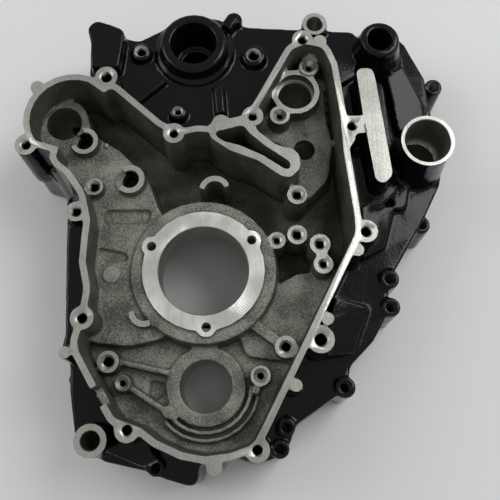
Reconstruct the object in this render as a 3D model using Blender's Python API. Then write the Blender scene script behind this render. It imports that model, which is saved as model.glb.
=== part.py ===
"""One half of an engine crankcase: a single aluminium casting, painted black outside and bare inside.

It lies on its rear joint face, z = 0, with the cover side up. Sizes are in millimetres. Plan positions are
from the axis of the main bearing bore, x to the right and y up as the cover side is looked at. Heights are
from the joint face. The finished casting is moved so that its origin is the middle of its footprint.
"""

from math import acos, ceil, cos, degrees, pi, radians, sin, tan

import bmesh
import bpy
import numpy as np
from mathutils import Matrix, Vector

MM = 0.001

# Heights of the machined faces above the rear joint face
GASKET_FACE = 86.0
MAIN_RING_FACE = 66.0
LOW_BOSS_FACE = 62.0
HIGH_BOSS_FACE = 69.0
UPPER_RING_FACE = 67.0
MOUNT_FACE = 72.0
STUD_BOSS_FACE = 74.0
FILLER_FACE = GASKET_FACE + 4.0

# Heights of the rough-cast floors inside the cover cavity, and the thickness of the web under them
DEEP_FLOOR = 34.0
PLATEAU_FLOOR = 60.0
FLANGE_FLOOR = 63.5
LOWER_FLOOR = 48.0
STEP_FLOOR = 53.0
LOWER_RING_TOP = 55.0
UPPER_FLOOR = 54.0
WEB = 6.0

# Heights of the painted decks outside the gasket rail
FLANK_DECK = 48.0
TOP_DECK = 65.4
SHOULDER_DECK = 73.4
SLOT_FLOOR = 61.5
TOWER_TOP = 78.0
DECK_BOSS_RISE = 6.6
PANEL_RISE = 10.0
FILTER_RIM = 78.5
SIDE_EYE_RIM = 82.0

# Widths, bores and draft
RAIL_WIDTH = 4.4
RIB = 4.0
MAIN_BORE = 31.5
MAIN_RING = 42.7
MAIN_FLANGE = 51.0
LOWER_BORE = 18.0
LOWER_RING = 27.3
UPPER_BORE = 14.0
UPPER_RING = 17.9
FILLER_BORE = 15.8
FILLER_WALL = 3.0
FILTER_BORE = 17.0
SIDE_EYE_BORE = 9.0
STUD_BORE = 6.0
MOUNT_BORE = 6.4
MOUNT_RADIUS = 11.0
JOINT_BOLT_BORE = 3.3
LOBE_HOLE = 13.0
UPPER_STEP = 1.5
FILLER_STEP = 2.4
FILTER_STEP = 5.5
BEARING_WALL = 5.5
CASE_WALL = 5.0
FLOOR_WALL = 3.0
JOINT_RAIL = 8.0
TAPPED_DEPTH = 18.0
CAST_DRAFT = radians(1.5)
DECK_DRAFT = radians(2.5)
BOSS_DRAFT = radians(3.0)
PANEL_DRAFT = radians(4.0)
FLOOR_DRAFT = radians(8.0)

# Plan positions of the main axes
MAIN_AXIS = (0.0, 0.0)
LOWER_AXIS = (2.4, -78.7)
UPPER_AXIS = (66.3, 136.0)
FILTER_AXIS = (-9.5, 170.0)
FILLER_AXIS = (155.9, 86.6)
SIDE_EYE_AXIS = (128.0, 171.0)
STUD_AXIS = (81.0, 188.6)
MOUNT_AXIS = (-70.8, -114.4)
LOBE_AXIS = (-93.4, 105.5)
LOBE_HOLE_AXIS = (-106.0, 113.5)
WINDOW_HOLE_AXIS = (73.0, 95.0)
WINDOW_HOLE = 7.8

CHORD_ERROR = 0.3  # how far a facet may lie inside the round that it stands for
BEND_PER_FACET = 36.0  # degrees

# The gasket rail's centre line: x, y and bend radius of each corner, then the arc of the lobe
RAIL_CORNERS = (
    (-68.0, 133.5, 6), (-29.5, 99.5, 10), (-14.0, 95.5, 6), (-3.0, 98.0, 10), (3.0, 96.5, 5),
    (12.0, 101.5, 6), (31.0, 106.0, 6), (39.5, 121.0, 20), (61.0, 161.5, 6), (72.0, 166.5, 4),
    (87.0, 163.5, 9), (93.2, 148.0, 20), (98.6, 106.0, 30), (99.9, 80.0, 30), (105.6, 33.0, 30),
    (106.0, 21.0, 10), (100.0, 8.5, 10), (66.5, -58.0, 30), (43.5, -104.5, 25), (36.0, -118.5, 8),
    (20.0, -124.0, 16), (4.0, -126.0, 40), (-20.0, -121.5, 40), (-37.0, -108.5, 8), (-54.5, -102.5, 5),
    (-60.0, -94.0, 3), (-80.5, -59.0, 5), (-82.0, -52.0, 5), (-77.0, -32.0, 15), (-75.2, -17.0, 14),
    (-79.6, 1.0, 24), (-79.0, 18.0, 24), (-78.2, 30.0, 24), (-83.0, 49.5, 16), (-93.5, 64.5, 16),
    (-108.0, 75.5, 8),
)
LOBE_RADIUS = 32.2

# Cover bolts along the rail: x, y, radius of the boss, radius of the tapped hole
COVER_BOLTS = (
    (-70.8, 137.8, 8.3, 4.4), (-21.2, 94.0, 7.6, 3.6), (34.3, 107.0, 7.6, 3.5), (70.5, 168.0, 7.6, 4.0),
    (104.1, 99.8, 7.4, 3.9), (110.9, 22.3, 8.1, 4.1), (78.4, -50.9, 9.2, 4.7), (37.1, -119.9, 8.0, 3.8),
    (-44.9, -107.8, 8.2, 3.9), (-77.5, -36.8, 7.9, 3.9), (-85.9, 36.2, 7.2, 3.6), (-124.3, 85.3, 8.0, 3.8),
)
# Plain ears of the rail, where the cover is levered off: x, y, radius
RAIL_EARS = (
    (11.9, 102.0, 6.2), (83.3, 166.8, 4.9), (104.8, 9.2, 4.4), (83.4, -37.2, 4.2), (61.8, -80.2, 4.3),
    (10.4, -130.2, 5.2), (-87.4, -59.4, 4.2), (-119.8, 129.6, 5.0),
)
# The long pad beside the rail, and the plate that joins it to the rail
STRIP = (
    (108.6, 144.0, 4), (120.4, 145.0, 4), (122.4, 135.0, 9), (131.0, 63.0, 4), (124.5, 55.8, 4),
    (119.0, 59.5, 3), (112.4, 108.0, 30),
)
STRIP_PLATE = (
    (96.0, 107.2, 0), (113.5, 107.2, 1), (113.0, 94.0, 1), (106.8, 94.0, 2), (106.0, 89.0, 2),
    (101.5, 82.0, 2), (97.0, 82.0, 0),
)
# The closed pocket between two walls that leave the rail
POCKET_OUTER = (
    (4.0, 91.0, 6), (18.5, 81.0, 20), (38.0, 73.5, 30), (54.0, 62.0, 6), (60.5, 60.8, 4), (67.5, 68.0, 4),
    (67.0, 77.0, 4), (62.0, 82.5, 4), (52.0, 84.0, 12), (36.0, 97.0, 10), (33.0, 108.0, 3), (4.0, 102.0, 3),
)
POCKET_INNER = (
    (6.0, 95.0, 4), (12.0, 88.5, 8), (26.0, 84.5, 20), (41.0, 77.5, 20), (56.0, 67.5, 4), (60.0, 66.5, 3),
    (61.0, 72.0, 4), (43.0, 84.5, 20), (31.0, 95.0, 6), (28.0, 100.5, 4), (14.0, 96.5, 4),
)
# The foot of the casting on the joint face
FOOT_CORNERS = (
    (-90.0, 152.0, 3), (-90.0, 187.0, 5), (-84.0, 193.5, 5), (-70.0, 189.0, 6), (-54.0, 184.0, 8),
    (-37.0, 192.0, 10), (-26.0, 201.0, 14), (6.0, 203.0, 14), (22.0, 196.0, 6), (34.0, 193.5, 6),
    (72.0, 192.5, 3), (93.0, 190.5, 3), (114.0, 190.0, 6), (151.0, 194.0, 14), (158.0, 178.0, 8),
    (168.0, 157.0, 6), (170.0, 132.0, 8), (175.0, 108.0, 14), (175.0, 72.0, 14), (161.0, 44.0, 8),
    (146.0, 19.0, 8), (136.5, 3.0, 6), (131.0, -14.0, 6), (131.0, -26.0, 6), (119.0, -47.0, 6),
    (102.5, -64.0, 5), (99.0, -80.0, 6), (77.0, -95.0, 6), (64.0, -104.0, 5), (57.0, -123.0, 5),
    (38.0, -130.0, 8), (20.0, -125.0, 6), (-2.0, -130.0, 4), (-2.0, -145.5, 6), (-23.5, -139.5, 3),
    (-38.0, -134.0, 6), (-66.0, -128.0, 6), (-86.0, -114.0, 8), (-90.0, -92.0, 6),
    (-92.0, -80.0, 6), (-92.5, -66.0, 4), (-94.5, -58.0, 4), (-92.5, -46.0, 6), (-95.5, 12.0, 30),
    (-97.0, 46.0, 5), (-93.5, 52.0, 4), (-101.0, 68.0, 6), (-112.0, 72.0, 3), (-117.0, 77.5, 4),
    (-131.0, 82.0, 5), (-130.0, 96.0, 8), (-127.0, 118.0, 14), (-110.0, 138.0, 16),
)
# Through bolts of the joint, in lugs round the foot: x, y, radius of the lug, height of the lug
JOINT_BOLTS = (
    (176.8, 154.3, 7.0, 40.0), (160.0, 41.0, 7.0, 40.0), (132.5, -2.5, 7.2, 50.0),
    (132.4, -23.0, 7.0, 50.0), (98.0, -79.0, 7.5, 50.0), (57.0, -105.5, 6.5, 50.0),
    (52.6, -120.0, 6.5, 52.0), (-30.7, -132.0, 6.0, 50.0), (20.0, 195.0, 6.5, 70.0),
    (-84.0, 186.0, 6.5, 40.0), (-92.0, -72.0, 6.0, 30.0), (-98.0, 56.0, 6.5, 44.0),
)
# Tapped bosses inside the cavity: x, y, radius, radius of the hole, height of the face
CAVITY_BOSSES = (
    (-88.0, 95.6, 10.3, 6.4, HIGH_BOSS_FACE), (-53.6, 66.2, 10.8, 6.4, HIGH_BOSS_FACE),
    (-78.6, 60.4, 6.4, 3.7, HIGH_BOSS_FACE), (-63.8, -62.8, 7.7, 4.0, LOW_BOSS_FACE),
    (-53.5, -77.0, 5.9, 2.5, LOW_BOSS_FACE), (39.6, -72.1, 7.0, 2.7, LOW_BOSS_FACE),
    (56.9, -52.7, 7.8, 3.8, LOW_BOSS_FACE), (51.4, 22.6, 6.2, 2.8, LOW_BOSS_FACE),
    (65.9, 26.8, 7.2, 3.6, LOW_BOSS_FACE), (81.2, 18.0, 7.3, 3.5, HIGH_BOSS_FACE),
    (83.3, 3.6, 6.9, 3.0, HIGH_BOSS_FACE), (65.9, 54.3, 7.2, 3.5, HIGH_BOSS_FACE),
    (54.2, 116.0, 7.4, 2.6, HIGH_BOSS_FACE), (76.3, 155.4, 7.4, 2.6, HIGH_BOSS_FACE),
)
# Retainer ears of the main ring, and tapped bosses on the painted decks: x, y, radius, radius of the hole
MAIN_EARS = ((-36.7, 17.1, 7.0, 3.0), (33.5, 21.8, 7.0, 3.0), (2.6, -39.9, 6.9, 3.0))
DECK_BOSSES = ((-49.0, 166.5, 7.5, 4.0), (35.0, 163.5, 9.0, 4.6), (-20.2, 117.5, 6.6, 2.9))

# Walls that divide the rear of the casting into chambers, as centre lines
REAR_WALLS = (
    ((-50.0, 8.0), (-92.0, 14.0)),
    ((-40.0, -32.0), (-62.0, -50.0), (-88.0, -58.0)),
    ((30.0, -41.0), (80.0, -56.0), (103.0, -62.0)),
    ((50.0, 14.0), (100.0, 30.0), (148.0, 30.0)),
    ((20.0, 47.0), (40.0, 100.0), (60.0, 122.0)),
    ((-30.0, 41.0), (-70.0, 100.0), (-88.0, 130.0)),
)
# Stretch of the left flank that is too narrow to be hollowed
NARROW_FLANK = ((-140.0, -128.0), (-60.0, -128.0), (-60.0, 80.0), (-140.0, 80.0))

# Outlines of the decks outside the rail, and of the floors inside it
TOP_DECK_CORNERS = (
    (-88, 150, 3), (-88, 178, 4), (-80, 184, 4), (-64, 182, 4), (-52, 179, 5), (-36, 188, 8),
    (-22, 197, 8), (6, 199, 8), (20, 193, 8), (34, 191, 4), (114, 187, 6), (112, 150, 6), (86, 134, 2),
    (60, 110, 2), (-10, 92, 2), (-60, 120, 2),
)
SHOULDER_CORNERS = (
    (-78, -60, 2), (-93, -56, 3), (-91, -46, 4), (-94.2, 12, 30), (-95.5, 45, 4), (-91, 50, 4), (-98, 67, 4),
    (-112, 71, 2), (-100, 80, 2), (-75, 60, 2), (-72, -30, 2),
)
SLOT_DECK_CORNERS = (
    (98, 150, 2), (108, 150, 4), (133, 148, 6), (140, 60, 8), (126, 48, 4), (104, 46, 2), (96, 100, 2),
)
PLATEAU_CORNERS = (
    (-126, 100, 20), (-108, 136, 20), (-92, 128, 8), (-84, 104, 8), (-64, 92, 10), (-42, 70, 10),
    (-34, 48, 8), (-24, 30, 6), (-24, -46, 8), (-50, -52, 6), (-72, -50, 6), (-84, -46, 2), (-86, 30, 4),
    (-97, 66, 2), (-118, 82, 4),
)
LOWER_CORNERS = (
    (-82, -50, 2), (-20, -46, 6), (40, -46, 8), (62, -36, 6), (80, -34, 2), (66, -64, 4), (42, -114, 6),
    (20, -124, 8), (-20, -121, 8), (-40, -107, 8), (-62, -94, 4),
)
STEP_CORNERS = ((20, -30, 6), (44, -12, 6), (66, 0, 6), (98, 4, 2), (76, -42, 2), (60, -62, 4), (30, -58, 6))
UPPER_CORNERS = (
    (36, 108, 4), (58, 98, 6), (58, 68, 4), (70, 50, 8), (90, 72, 10), (94, 100, 14), (90, 118, 8),
    (88, 150, 4), (78, 166, 2), (62, 162, 2), (42, 122, 2),
)

# Turned fittings of the painted side: radius and height up their outsides
FILTER_PROFILE = (
    (21.5, 22.0), (29.5, 58.0), (29.5, TOP_DECK + 2.4), (25.4, TOP_DECK + 4.2), (24.6, FILTER_RIM - 1.4),
    (22.4, FILTER_RIM),
)
FILLER_PROFILE = (
    (24.0, 12.0), (21.8, 44.0), (FILLER_BORE + FILLER_WALL, 74.0), (FILLER_BORE + FILLER_WALL, FILLER_FACE),
)
SIDE_EYE_PROFILE = (
    (17.0, 20.0), (22.0, 46.0), (18.0, 66.0), (15.6, SIDE_EYE_RIM - 8.0), (14.9, SIDE_EYE_RIM - 2.4),
    (13.2, SIDE_EYE_RIM),
)
STUD_PROFILE = ((10.5, 20.0), (9.8, STUD_BOSS_FACE - 1.5), (9.0, STUD_BOSS_FACE))

# Outlines of the tower, of the flank's sloping panels with their slopes, and of the webs between fittings
TOWER = (
    (-85, 150, 3), (-85.5, 170, 8), (-89, 183, 5), (-83, 189.5, 5), (-70, 185, 4), (-61, 181, 5),
    (-64, 150, 2),
)
PANELS = (
    (((135.7, 151, 1), (148.7, 162, 2), (166, 130, 4), (163, 118, 3), (143.6, 107, 2)), (-0.25, 0.1)),
    (((112, 47, 1), (138, 51, 1), (129, 20, 1), (112, 10, 1)), (-0.3, 0.1)),
    (((92, -18, 1), (116, -24, 1), (104, -56, 1), (78, -60, 2)), (-0.3, 0.15)),
)
NECK_WEB = ((136, 108, 4), (150, 70, 4), (146, 48, 6), (137.5, 48, 3), (133.5, 104, 2))
TRIANGLE_RIB = ((-66, -120, 2), (-38, -110, 2), (-28, -126, 2), (-38, -131, 2))

# Ribs on the top deck: centre line, width, and height over the deck
DECK_RIBS = (
    (((-50.0, 126.0), (-31.0, 143.0)), 2.4, 5.6),
    (((9.0, 138.0), (11.0, 116.0)), 7.0, 7.6),
    (((14.0, 186.0), (20.0, 195.0)), 8.0, 9.6),
)
# Ribs inside the cavity: centre line, width, height of the top
CAVITY_RIBS = (
    (((81.2, 18.0), (83.3, 3.6)), 7.4, HIGH_BOSS_FACE),
    (((66.0, 27.0), (51.0, 22.5)), RIB, LOW_BOSS_FACE - 4),
    (((34.0, -36.0), (56.9, -52.7)), 7.4, LOW_BOSS_FACE - 2),
    (((39.6, -72.1), (35.8, -84.0)), 5.0, LOW_BOSS_FACE - 1),
    (((-58.0, -62.0), (-22.0, -70.0)), RIB, LOWER_RING_TOP + 3),
    (((-50.0, -79.0), (-17.0, -100.0)), RIB, LOWER_RING_TOP + 2),
)
# Crescent pads: centre, radius, and where the arc starts and how far it runs, in degrees
CRESCENTS = (((7.3, 57.3), 9.5, 20, 150), ((-39.7, -29.8), 8.6, 178, 122))
# Ridges round the lower ring: how far outside its edge, width, and height over its top
RING_RIDGES = ((3.7, 2.6, 1.5), (8.7, 2.6, -1.5))
# Small raised discs: x, y, radius, height of the face
DISCS = (
    (-22.2, -95.9, 4.6, LOWER_RING_TOP + 2.6), (-64.8, -1.7, 5.6, PLATEAU_FLOOR + 0.8),
    (-73.0, 95.0, 1.8, PLATEAU_FLOOR + 2.0),
)
# Shallow pockets cast into the floors: outline and height of the bottom
FLOOR_POCKETS = (
    (((-72, 46, 2), (-38, 46, 2), (-40, 36, 2), (-72, 35, 2)), PLATEAU_FLOOR - 3.5),
    (((-76, 18, 1), (-56, 14, 1), (-52, 8, 2), (-70, 7, 2)), PLATEAU_FLOOR - 3.0),
    (((-36, -74, 1), (-26, -76, 1), (-26, -83, 1), (-31, -88, 1), (-37, -84, 1)), LOWER_FLOOR - 3.5),
)
# Slots that open the gasket rail and two bosses: centre line, width, height of the bottom
OPEN_SLOTS = (
    (((-52.0, -80.0), (-78.0, -95.0)), 13.0, GASKET_FACE - 16.0),
    (((-98.0, 112.0), (-88.0, 95.6)), 7.0, HIGH_BOSS_FACE - 3.5),
    (((-66.0, 69.0), (-53.6, 66.2)), 9.0, HIGH_BOSS_FACE - 3.5),
)

# The three finishes, in the order of the material slots: name, colour, roughness and metallic value
PAINTED, CAST, MACHINED = range(3)
FINISHES = (
    ("black_gloss_paint", (0.006, 0.006, 0.008), 0.2, 0.0),
    ("rough_cast_aluminium", (0.2, 0.2, 0.19), 0.6, 0.8),
    ("machined_aluminium", (0.55, 0.55, 0.54), 0.3, 1.0),
)


def sides_for(radius):
    """How many facets a full circle needs."""
    return 2 * ceil(pi / acos(1 - CHORD_ERROR / radius) / 2)


def arc(centre, radius, start, sweep):
    """Points along an arc, in degrees, with both ends."""
    steps = max(2, ceil(sides_for(radius) * abs(sweep) / 360))
    angles = np.radians(np.linspace(start, start + sweep, steps + 1))
    return [(centre[0] + radius * cos(a), centre[1] + radius * sin(a)) for a in angles]


def circle(centre, radius):
    return arc(centre, radius, 0.0, 360.0)[:-1]


def rounded(corners):
    """A closed outline from corners (x, y, bend radius): each becomes an arc tangent to both its sides."""
    outline = []
    for index, (x, y, radius) in enumerate(corners):
        here = Vector((x, y))
        before = Vector(corners[index - 1][:2]) - here
        after = Vector(corners[(index + 1) % len(corners)][:2]) - here
        half = before.angle(after) / 2
        reach = min(radius / tan(half), 0.48 * before.length, 0.48 * after.length)
        steps = round((180.0 - degrees(2 * half)) / BEND_PER_FACET)
        if reach < 0.1 or steps < 1:
            outline.append((x, y))
            continue
        first = before.normalized() * reach
        last = after.normalized() * reach
        middle = (first + last).normalized() * (reach / cos(half))
        turn = (first - middle).angle_signed(last - middle)
        for step in range(steps + 1):
            spoke = first - middle
            spoke.rotate(Matrix.Rotation(-turn * step / steps, 2))
            outline.append(tuple(here + middle + spoke))
    return outline


def offset(outline, distance):
    """The closed outline moved outwards by distance, or inwards where it is negative, with mitred corners."""
    points = np.array(outline)
    ahead = np.roll(points, -1, axis=0) - points
    ahead /= np.linalg.norm(ahead, axis=1)[:, None]
    area = np.sum(points[:, 0] * np.roll(points[:, 1], -1) - np.roll(points[:, 0], -1) * points[:, 1])
    normals = np.stack([ahead[:, 1], -ahead[:, 0]], axis=1) * np.sign(area)
    both = normals + np.roll(normals, 1, axis=0)
    mitre = 2 * both / np.maximum(np.sum(both * both, axis=1), 1.2)[:, None]
    return [tuple(point) for point in points + mitre * distance]


def inset(corners, distance):
    """Corners of the outline this far inside: its outer bends get tighter and its inner ones wider."""
    points = np.array([(x, y) for x, y, _ in corners], float)
    ahead = np.roll(points, -1, axis=0) - points
    behind = points - np.roll(points, 1, axis=0)
    turns = behind[:, 0] * ahead[:, 1] - behind[:, 1] * ahead[:, 0]
    area = np.sum(points[:, 0] * np.roll(points[:, 1], -1) - np.roll(points[:, 0], -1) * points[:, 1])
    change = np.where(turns * area > 0, -distance, distance)
    radii = np.maximum([radius for _, _, radius in corners] + change, 0.0)
    return [(x, y, radius) for (x, y), radius in zip(offset(points, -distance), radii)]


def band(path, width):
    """The outline of a wall of this width along an open path."""
    points = np.array(path)
    ahead = np.gradient(points, axis=0)
    ahead /= np.linalg.norm(ahead, axis=1)[:, None]
    side = np.stack([-ahead[:, 1], ahead[:, 0]], axis=1) * width / 2
    return [tuple(point) for point in np.concatenate([points + side, (points - side)[::-1]])]


def solid(vertices, faces):
    """A mesh object from points in millimetres, with its faces turned outwards."""
    mesh = bpy.data.meshes.new("solid")
    mesh.from_pydata([[value * MM for value in vertex] for vertex in vertices], [], faces)
    shape = bmesh.new()
    shape.from_mesh(mesh)
    bmesh.ops.recalc_face_normals(shape, faces=shape.faces)
    shape.to_mesh(mesh)
    shape.free()
    for name, *_ in FINISHES:
        mesh.materials.append(bpy.data.materials[name])
    piece = bpy.data.objects.new("solid", mesh)
    bpy.context.scene.collection.objects.link(piece)
    return piece


def prism(outline, bottom, top, draft=0.0, slope=(0.0, 0.0)):
    """An upright prism: its outline is true at the top, its foot spreads by the draft, its top may slope."""
    foot = offset(outline, tan(draft) * (top - bottom)) if draft else outline
    middle = np.mean(outline, axis=0)
    heights = [top + (x - middle[0]) * slope[0] + (y - middle[1]) * slope[1] for x, y in outline]
    vertices = [(x, y, bottom) for x, y in foot] + [(x, y, z) for (x, y), z in zip(outline, heights)]
    count = len(outline)
    sides = [(i, (i + 1) % count, count + (i + 1) % count, count + i) for i in range(count)]
    return solid(vertices, sides + [tuple(range(count)), tuple(range(2 * count - 1, count - 1, -1))])


def boss(centre, radius, bottom, top, draft=BOSS_DRAFT):
    return prism(circle(centre, radius), bottom, top, draft)


def bore(centre, radius, bottom, top):
    return prism(circle(centre, radius), bottom, top)


def turned(centre, profile):
    """A solid of revolution: the profile runs up its outside as (radius, height), and flat ends close it."""
    sides = sides_for(max(radius for radius, _ in profile))
    spokes = [(cos(2 * pi * side / sides), sin(2 * pi * side / sides)) for side in range(sides)]
    vertices = [
        (centre[0] + radius * along, centre[1] + radius * across, height)
        for radius, height in profile for along, across in spokes
    ]
    faces = [tuple(range(sides)), tuple(range(len(vertices) - 1, len(vertices) - sides - 1, -1))]
    for low in range(0, len(vertices) - sides, sides):
        ring = [(low + i, low + (i + 1) % sides) for i in range(sides)]
        faces += [(first, second, second + sides, first + sides) for first, second in ring]
    return solid(vertices, faces)


def combine(casting, pieces, operation, finish):
    """Joins each piece to the casting, or cuts it away, and gives the surface that it leaves this finish. The
    exact solver leaves open edges on this many fused bosses, so this is the manifold one. The pieces are used
    up."""
    for piece in pieces:
        piece.data.polygons.foreach_set("material_index", [finish] * len(piece.data.polygons))
        modifier = casting.modifiers.new(operation.lower(), "BOOLEAN")
        modifier.solver = "MANIFOLD"
        modifier.operation = operation
        modifier.object = piece
    bpy.context.view_layer.update()
    graph = bpy.context.evaluated_depsgraph_get()
    result = bpy.data.meshes.new_from_object(casting.evaluated_get(graph))
    casting.modifiers.clear()
    casting.data = result
    for piece in pieces:
        bpy.data.objects.remove(piece)


def fuse(casting, pieces, finish):
    combine(casting, pieces, "UNION", finish)


def cut(casting, pieces, finish):
    combine(casting, pieces, "DIFFERENCE", finish)


def make_finishes():
    for name, colour, roughness, metallic in FINISHES:
        made = bpy.data.materials.new(name)
        made.use_nodes = True
        shader = made.node_tree.nodes["Principled BSDF"]
        shader.inputs["Base Color"].default_value = (*colour, 1.0)
        shader.inputs["Roughness"].default_value = roughness
        shader.inputs["Metallic"].default_value = metallic


def rail_line():
    return rounded(RAIL_CORNERS) + arc(LOBE_AXIS, LOBE_RADIUS, 216, -146)


def outer_case():
    """The solid outside of the casting: gasket wall, foot, decks, bolt columns and joint lugs."""
    casting = prism(offset(rail_line(), RAIL_WIDTH / 2), 0.0, GASKET_FACE, CAST_DRAFT)
    fuse(casting, [
        prism(rounded(FOOT_CORNERS), 0.0, FLANK_DECK, DECK_DRAFT),
        prism(rounded(TOP_DECK_CORNERS), 0.0, TOP_DECK, DECK_DRAFT),
        prism(rounded(SHOULDER_CORNERS), 0.0, SHOULDER_DECK, CAST_DRAFT),
        prism(rounded(SLOT_DECK_CORNERS), 0.0, SLOT_FLOOR, DECK_DRAFT),
        prism(rounded(STRIP), DEEP_FLOOR, GASKET_FACE, DECK_DRAFT),
        prism(rounded(STRIP_PLATE), DEEP_FLOOR, GASKET_FACE),
    ], PAINTED)
    on_the_rail = [(x, y, radius) for x, y, radius, _ in COVER_BOLTS] + list(RAIL_EARS)
    columns = [boss((x, y), radius, DEEP_FLOOR, GASKET_FACE, CAST_DRAFT) for x, y, radius in on_the_rail]
    fuse(casting, columns, PAINTED)
    return casting


def front_cavity(casting):
    """Hollows the cover side down to its deepest floor, then leaves the raised floors standing in it."""
    root = DEEP_FLOOR - 2.0
    inside = offset(rail_line(), -RAIL_WIDTH / 2)
    cut(casting, [prism(inside, DEEP_FLOOR, GASKET_FACE + 1, -CAST_DRAFT)], CAST)
    floors = prism(rounded(PLATEAU_CORNERS), root, PLATEAU_FLOOR, PANEL_DRAFT)
    fuse(floors, [
        prism(rounded(LOWER_CORNERS), root, LOWER_FLOOR, FLOOR_DRAFT),
        prism(rounded(STEP_CORNERS), root, STEP_FLOOR, FLOOR_DRAFT),
        prism(rounded(UPPER_CORNERS), root, UPPER_FLOOR, FLOOR_DRAFT),
        boss(MAIN_AXIS, MAIN_FLANGE, root, FLANGE_FLOOR, FLOOR_DRAFT),
    ], CAST)
    combine(floors, [prism(offset(inside, RAIL_WIDTH / 2), 0.0, GASKET_FACE)], "INTERSECT", CAST)
    fuse(casting, [floors, prism(rounded(POCKET_OUTER), root, GASKET_FACE, CAST_DRAFT)], CAST)
    cut(casting, [prism(rounded(POCKET_INNER), DEEP_FLOOR, GASKET_FACE + 1)], CAST)


def rear_chambers(casting):
    """Hollows the joint side so that a web of even thickness is left under every floor and deck. Then adds
    the dividing walls, the lugs of the joint bolts and the bearing housings."""
    under_deep = DEEP_FLOOR - WEB
    foot = rounded(inset(FOOT_CORNERS, JOINT_RAIL))
    case = offset(rail_line(), RAIL_WIDTH / 2 + CASE_WALL / 2)
    inside = offset(rail_line(), -RAIL_WIDTH / 2)
    decks = prism(foot, -1.0, FLANK_DECK - WEB)
    fuse(decks, [
        prism(rounded(inset(TOP_DECK_CORNERS, CASE_WALL)), -1.0, TOP_DECK - WEB),
        prism(rounded(inset(SLOT_DECK_CORNERS, CASE_WALL)), -1.0, SLOT_FLOOR - WEB),
    ], CAST)
    cut(decks, [prism(case, under_deep, GASKET_FACE), prism(NARROW_FLANK, -2.0, GASKET_FACE)], CAST)
    floors = prism(rounded(inset(PLATEAU_CORNERS, FLOOR_WALL)), -1.0, PLATEAU_FLOOR - WEB)
    fuse(floors, [
        prism(rounded(inset(LOWER_CORNERS, FLOOR_WALL)), -1.0, LOWER_FLOOR - WEB),
        prism(rounded(inset(STEP_CORNERS, FLOOR_WALL)), -1.0, STEP_FLOOR - WEB),
        prism(rounded(inset(UPPER_CORNERS, FLOOR_WALL)), -1.0, UPPER_FLOOR - WEB),
        bore(MAIN_AXIS, MAIN_FLANGE - FLOOR_WALL, -1.0, FLANGE_FLOOR - WEB),
    ], CAST)
    combine(floors, [prism(inside, -2.0, GASKET_FACE)], "INTERSECT", CAST)
    cut(casting, [decks, floors], CAST)

    walls = [prism(band(line, CASE_WALL), 0.0, under_deep + 2) for line in REAR_WALLS]
    lugs = [boss((x, y), radius, 0.0, top, CAST_DRAFT) for x, y, radius, top in JOINT_BOLTS]
    fuse(casting, [bore(MAIN_AXIS, MAIN_FLANGE, 0.0, FLANGE_FLOOR - 1)] + walls, CAST)
    fuse(casting, lugs, PAINTED)
    cut(casting, [bore(MAIN_AXIS, MAIN_FLANGE - CASE_WALL, -1.0, FLANGE_FLOOR - WEB)], CAST)
    bearings = (
        (MAIN_AXIS, MAIN_BORE, 36.0, FLANGE_FLOOR - 1),
        (LOWER_AXIS, LOWER_BORE, 20.0, LOWER_FLOOR - 1),
        (UPPER_AXIS, UPPER_BORE, 12.0, UPPER_FLOOR - 1),
        (LOBE_HOLE_AXIS, LOBE_HOLE, 24.0, PLATEAU_FLOOR - 1),
    )
    housings = [bore(axis, hole + BEARING_WALL, bottom, top) for axis, hole, bottom, top in bearings]
    fuse(casting, housings, CAST)


def painted_fittings(casting):
    """Filter housing, filler neck, side eye, stud boss, tower, mount lug, and the flank's sloping panels."""
    fuse(casting, [
        turned(FILTER_AXIS, FILTER_PROFILE),
        turned(FILLER_AXIS, FILLER_PROFILE),
        turned(SIDE_EYE_AXIS, SIDE_EYE_PROFILE),
        turned(STUD_AXIS, STUD_PROFILE),
        boss(MOUNT_AXIS, MOUNT_RADIUS, 6.0, MOUNT_FACE, CAST_DRAFT),
    ], PAINTED)
    top = FLANK_DECK + PANEL_RISE
    panels = [prism(rounded(outline), FLANK_DECK - 4, top, PANEL_DRAFT, slope) for outline, slope in PANELS]
    fuse(casting, panels + [
        prism(rounded(TOWER), 20.0, TOWER_TOP, DECK_DRAFT),
        prism(rounded(NECK_WEB), FLANK_DECK - 4, FLANK_DECK + 7, BOSS_DRAFT, (-0.15, 0.0)),
        prism(rounded(TRIANGLE_RIB), 20.0, FLANK_DECK + 12, DECK_DRAFT),
    ], PAINTED)
    face = TOP_DECK + DECK_BOSS_RISE
    bosses = [boss((x, y), radius, face - TAPPED_DEPTH - 3, face) for x, y, radius, _ in DECK_BOSSES]
    root = TOP_DECK - WEB
    ribs = [prism(band(line, width), root, TOP_DECK + rise, BOSS_DRAFT) for line, width, rise in DECK_RIBS]
    fuse(casting, bosses + ribs, PAINTED)


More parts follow.
